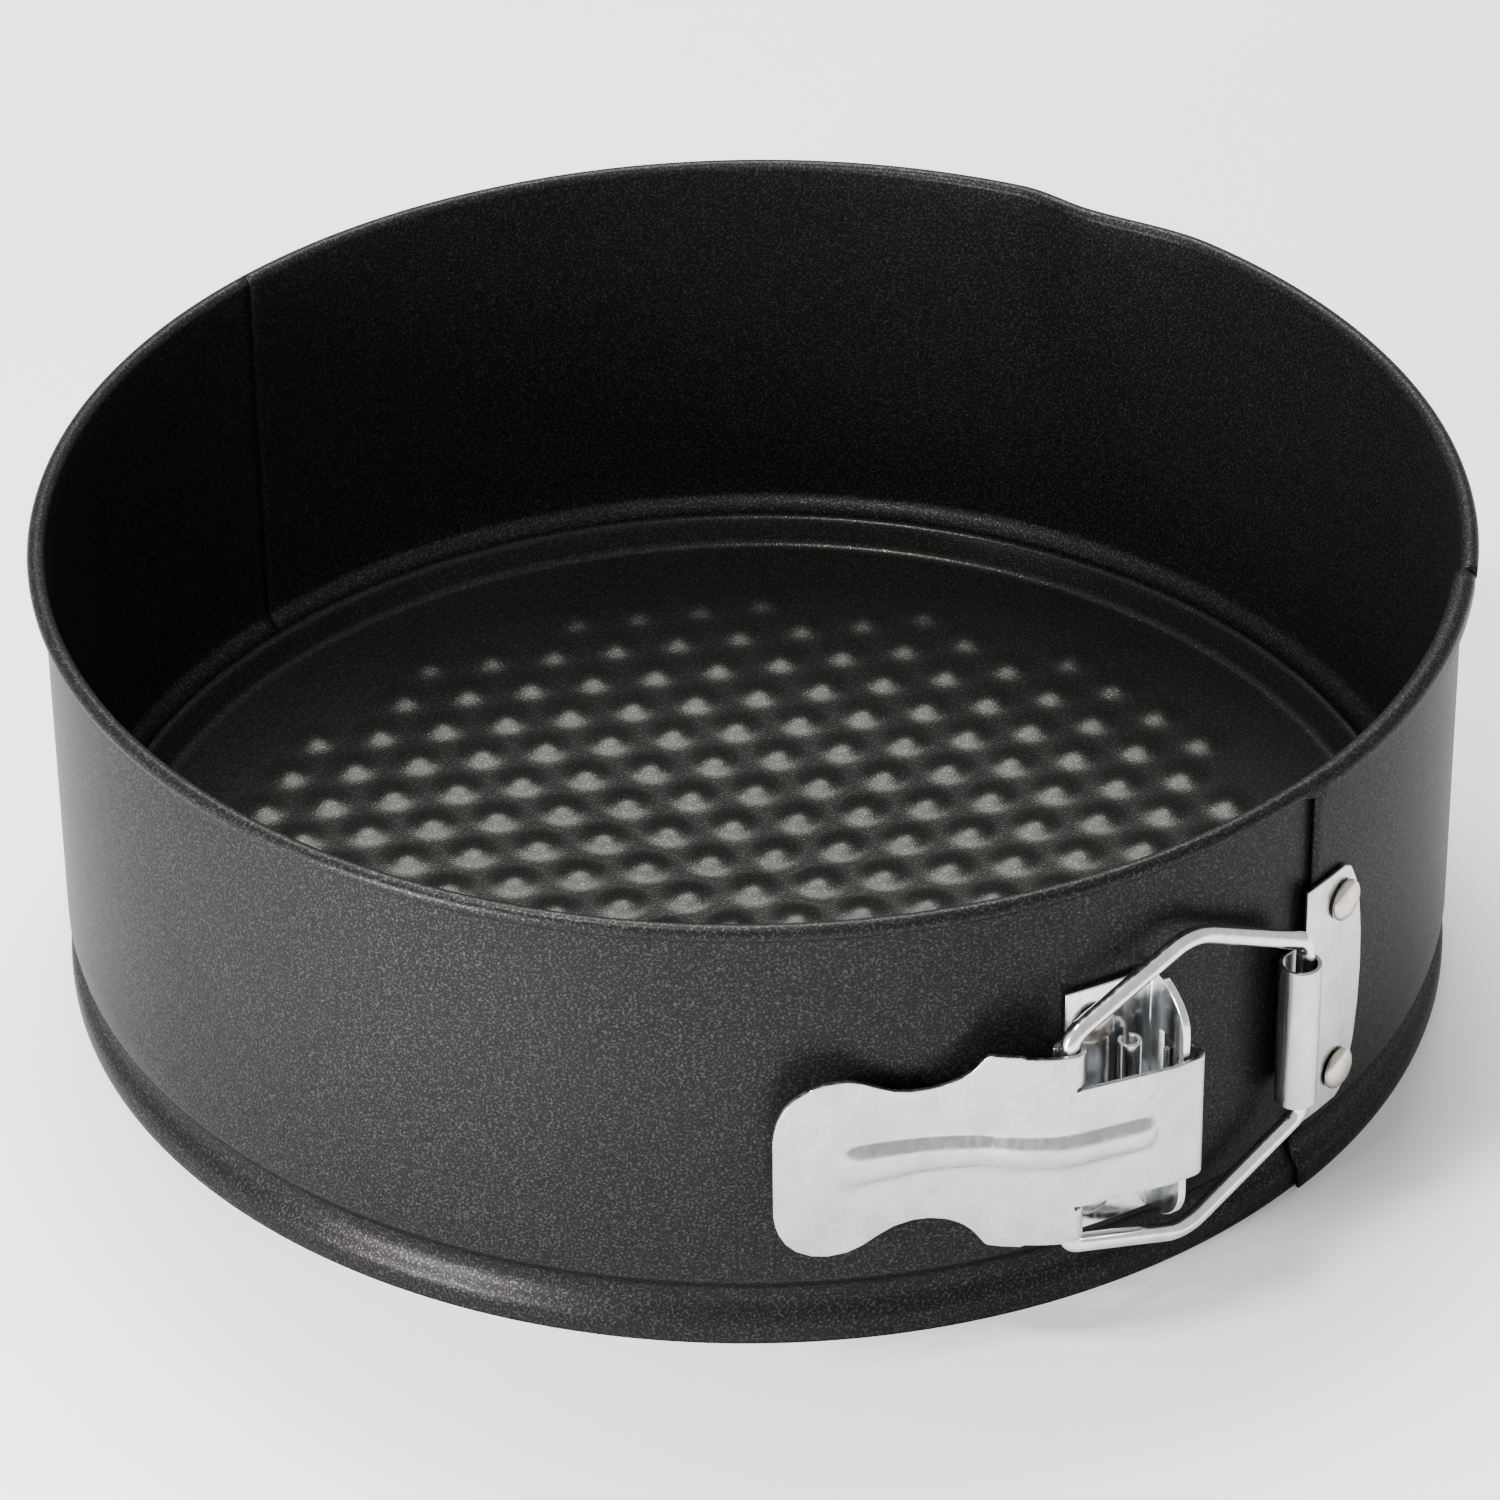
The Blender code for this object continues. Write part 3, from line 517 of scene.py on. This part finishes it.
def make_lever(look):
    """Paddle, shoulders curled round the wire, and the tongue with its eye, as one bent sheet."""
    lift = [Vector((along, -out)) for along, out in LEVER_FACE]
    paddle = smooth_line(lift + [Vector((LEG.x, LEG.y - CURL_BORE))], 10)
    tip = paddle[0].lerp(paddle[10], 0.5 / 6.8)
    paddle = [tip.lerp(paddle[3], i / 6) for i in range(6)] + paddle[3:]
    tongue, rows = tongue_line()[1:], lever_rows()
    curl = arc(LEG, CURL_BORE, -90, 150, len(tongue))[1:]
    columns = len(paddle) + len(tongue)
    bm = bmesh.new()
    bmesh.ops.create_grid(bm, x_segments=columns - 1, y_segments=len(rows) - 1, size=1.0)
    unwanted = []
    for face in bm.faces:
        spot = face.calc_center_median()
        column = (spot.x + 1) / 2 * (columns - 1)
        row = int((spot.y + 1) / 2 * (len(rows) - 1))
        if column > len(paddle) - 1 and row in (4, len(rows) - 6):
            unwanted.append(face)
    for vert in bm.verts:
        column = round((vert.co.x + 1) / 2 * (columns - 1))
        row = round((vert.co.y + 1) / 2 * (len(rows) - 1))
        height = rows[row]
        if column < len(paddle):
            spot = paddle[column]
            height *= lever_half(spot.x) / SHOULDER_HALF
        else:
            bent = curl if abs(height) > 11.5 else tongue
            spot = bent[column - len(paddle)]
            height *= CURL_HALF / SHOULDER_HALF if bent is curl else 1.0
        on_rib = spot.y < -100 and column < len(paddle) + 14
        proud = rib_height(spot.x, height) if on_rib else 0.0
        vert.co = Vector((spot.x, spot.y - proud, LATCH_HEIGHT + height)) * MM
    bmesh.ops.delete(bm, geom=unwanted, context="FACES")
    bmesh.ops.recalc_face_normals(bm, faces=bm.faces)
    middle = Vector((-0.040, -0.1105, 0.037))
    near = min(bm.faces, key=lambda f: (f.calc_center_median() - middle).length)
    if near.normal.y < 0:
        bmesh.ops.reverse_faces(bm, faces=bm.faces)
    lever = piece("latch_paddle", bm, look, "lever", smooth=50)
    thicken(lever, LEVER_SHEET, edge=0.16)
    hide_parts("lever")


def merged_copy(node, name, look, body, edge, smooth=30):
    """A piece on a part's own shape, with its triangles joined and its edges eased."""
    bm = bmesh.new()
    bm.from_mesh(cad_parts[node].data)
    bmesh.ops.remove_doubles(bm, verts=bm.verts, dist=2e-5)
    bmesh.ops.dissolve_limit(bm, angle_limit=math.radians(1.0), verts=bm.verts, edges=bm.edges)
    bmesh.ops.dissolve_degenerate(bm, edges=bm.edges, dist=2e-5)
    bmesh.ops.recalc_face_normals(bm, faces=bm.faces)
    made = piece(name, bm, look, body, smooth)
    if edge:
        round_edges(made, edge)
    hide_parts(node)
    return made


def make_bail(look):
    """The wire loop, bent at six places."""
    along = (WIRE_END - LEG).normalized()
    reach = (WIRE_END - LEG).length
    upper = [(0.0, 19.8, 3.4), (24.0, 28.7, 9.0), (reach, 16.7, 3.2)]
    corners = upper + [(a, -b, r) for a, b, r in reversed(upper)]
    line = []
    for i, (a, b, radius) in enumerate(corners):
        here = Vector((a, b))
        back = (Vector(corners[i - 1][:2]) - here).normalized()
        ahead = (Vector(corners[(i + 1) % 6][:2]) - here).normalized()
        half = back.angle(ahead) / 2
        middle = here + (back + ahead).normalized() * (radius / math.sin(half))
        first = here + back * (radius / math.tan(half)) - middle
        last = here + ahead * (radius / math.tan(half)) - middle
        line += [middle + first.slerp(last, k / 12).normalized() * radius for k in range(13)]
    curve = bpy.data.curves.new("bail_line", "CURVE")
    curve.dimensions = "3D"
    curve.bevel_depth, curve.bevel_resolution = WIRE_RADIUS * MM, 6
    spline = curve.splines.new("POLY")
    spline.points.add(len(line) - 1)
    for point, (a, b) in zip(spline.points, line):
        spot = LEG + along * a
        point.co = (spot.x * MM, spot.y * MM, (LATCH_HEIGHT + b) * MM, 1.0)
    spline.use_cyclic_u = True
    guide = bpy.data.objects.new("bail_line", curve)
    bm = bmesh.new()
    bm.from_mesh(guide.to_mesh())
    bmesh.ops.remove_doubles(bm, verts=bm.verts, dist=1e-6)
    bpy.data.objects.remove(guide)
    bail = piece("bail_loop", bm, look, "bail", smooth=80)
    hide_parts("bail_wire")


def make_stop(look):
    """A rolled column of sheet behind the lever, between the two rivets."""
    bm = bmesh.new()
    line = arc(ROLL_CENTRE, ROLL_RADIUS, 60, -250, 24)
    verts = [bm.verts.new((p.x * MM, p.y * MM, (LATCH_HEIGHT - ROLL_HALF) * MM)) for p in line]
    edges = [bm.edges.new(pair) for pair in zip(verts, verts[1:])]
    grown = bmesh.ops.extrude_edge_only(bm, edges=edges)
    tops = [v for v in grown["geom"] if isinstance(v, bmesh.types.BMVert)]
    bmesh.ops.translate(bm, verts=tops, vec=(0, 0, 2 * ROLL_HALF * MM))
    bmesh.ops.recalc_face_normals(bm, faces=bm.faces)
    stop = piece("latch_arch_roll", bm, look, "ring_left", smooth=60)
    thicken(stop, PLATE_SHEET, edge=0.12)


def make_rivet(node, look, body, seat, bearing, side, tail):
    """A rivet seated at one radius, with its shank running in to another."""
    head, top, shank = RIVET_HEAD_RADIUS, RIVET_HEAD_HEIGHT, RIVET_SHANK_RADIUS
    points = [(0, seat + top)]
    for t in (1.45, 1.25, 1.0, 0.75, 0.5, 0.25, 0.0):
        points.append((head * math.cos(t), seat + RIVET_RIM + (top - RIVET_RIM) * math.sin(t)))
    points += [(head, seat + 0.1), (head - 0.1, seat), (shank, seat), (shank, tail)]
    if tail < seat - 2.0:
        points += [(2.6, tail), (2.6, tail - 0.5), (2.3, tail - 0.8), (0, tail - 0.8)]
    else:
        points += [(0, tail)]
    bm = full_turn(points, 48)
    bmesh.ops.recalc_face_normals(bm, faces=bm.faces)
    out = polar(1.0, bearing, 0.0)
    across = Vector((0, 0, 1)).cross(out)
    turn = Matrix((across, Vector((0, 0, 1)), out)).transposed().to_4x4()
    lift = Matrix.Translation((0, 0, (LATCH_HEIGHT + side * RIVET_HALF_SPACING) * MM))
    bmesh.ops.transform(bm, matrix=lift @ turn, verts=bm.verts)
    rivet = piece(node + "_head", bm, look, body, smooth=30)
    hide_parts(node)


def make_latch(zinc, bright, nickel):
    make_lever(zinc)
    make_bail(bright)
    merged_copy("hinge_plate", "hinge_leaf", zinc, "ring_right", 0.15)
    merged_copy("latch_bracket", "latch_arch", bright, "ring_left", 0.18)
    make_stop(bright)
    plate_seat = BAND_RADIUS + LAP_GAP + BAND_SHEET + FIT_GAP + PLATE_SHEET + FIT_GAP
    plate_tail = BAND_RADIUS + LAP_GAP + 0.05
    bracket_seat, bracket_tail = BAND_RADIUS + 1.5, BAND_RADIUS - 0.9
    for side, label in ((1, "upper"), (-1, "lower")):
        make_rivet("hinge_rivet_" + label, nickel, "ring_right",
                   plate_seat, PLATE_RIVET_BEARING, side, plate_tail)
        make_rivet("bracket_rivet_" + label, nickel, "ring_left",
                   bracket_seat, BRACKET_RIVET_BEARING, side, bracket_tail)


add_camera()
add_studio()
fleck, scuffs = fleck_effect(), scuff_effect()
band_coat = coating("band_coating", (0.0095, 0.0088, 0.0088), (0.0125, 0.0116, 0.0116),
                    (0.052, 0.048, 0.048), 0.40, fleck)
base_coat = coating("base_coating", (0.012, 0.0115, 0.0105), (0.017, 0.0163, 0.0150),
                    (0.045, 0.043, 0.040), 0.30, fleck)
zinc = plating("zinc_plate_sheet", (0.48, 0.49, 0.50), (0.62, 0.63, 0.64), 0.20, 0.36, scuffs)
wire = plating("zinc_plate_wire", (0.68, 0.69, 0.70), (0.86, 0.87, 0.88), 0.12, 0.26, scuffs,
               Blotch_Scale=420.0)
nickel = plating("nickel_rivets", (0.46, 0.41, 0.36), (0.66, 0.60, 0.54), 0.18, 0.32, scuffs,
                 Blotch_Scale=300.0)
make_left_band(band_coat)
make_right_band(band_coat)
make_base(base_coat)
make_latch(zinc, wire, nickel)
